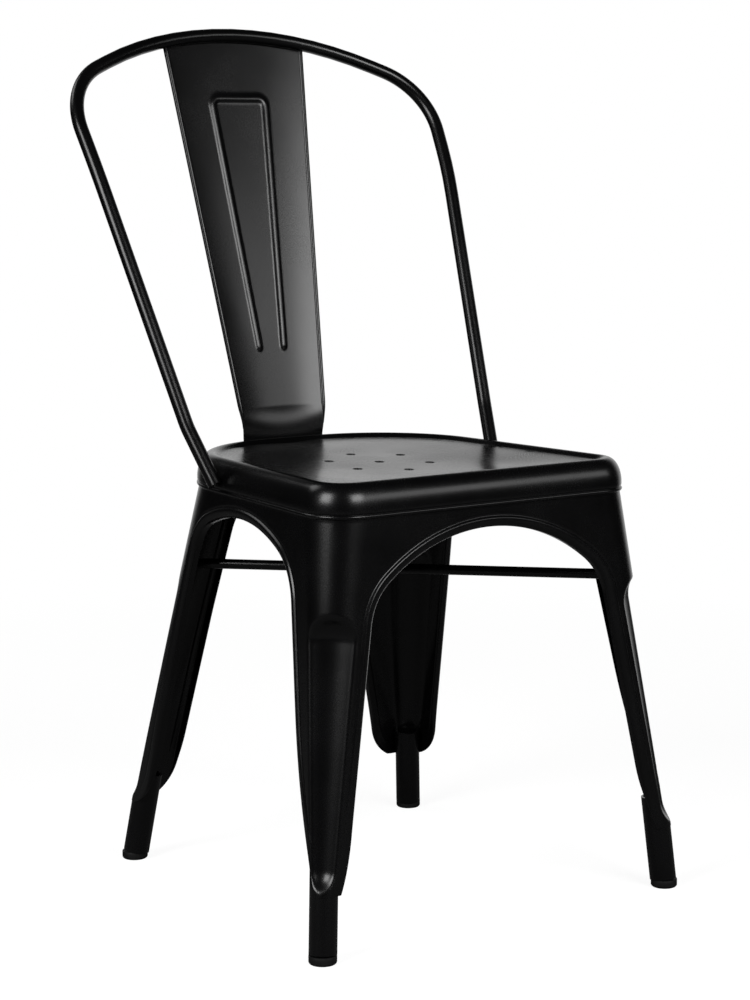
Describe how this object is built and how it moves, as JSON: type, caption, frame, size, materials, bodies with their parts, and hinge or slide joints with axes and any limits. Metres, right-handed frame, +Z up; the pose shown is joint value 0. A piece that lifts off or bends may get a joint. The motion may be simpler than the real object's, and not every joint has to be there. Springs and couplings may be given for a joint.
{
  "type": "metal bistro chair",
  "caption": "Stackable pressed-steel bistro chair with arched splayed legs, a bent tube back and a tapered embossed back panel, in satin black.",
  "frame": {"origin": "on the floor, under the middle of the overall box", "axes": "+Z up, the sitter faces -Y, the chair is symmetric about X = 0 apart from which brace rod passes on top"},
  "size_m": [0.4492, 0.4905, 0.8482],
  "materials": {
    "frame_paint": "satin black powder coat over pressed sheet steel",
    "foot_rubber": "matte black moulded rubber"
  },
  "bodies": {
    "root": {"seat_pan": "frame_paint", "back_hoop": "frame_paint", "back_splat": "frame_paint", "brace_rod_a": "frame_paint", "brace_rod_b": "frame_paint", "front_right_leg": "frame_paint", "front_right_foot": "foot_rubber", "front_left_leg": "frame_paint", "front_left_foot": "foot_rubber", "back_right_leg": "frame_paint", "back_right_foot": "foot_rubber", "back_left_leg": "frame_paint", "back_left_foot": "foot_rubber"}
  },
  "joints": []
}
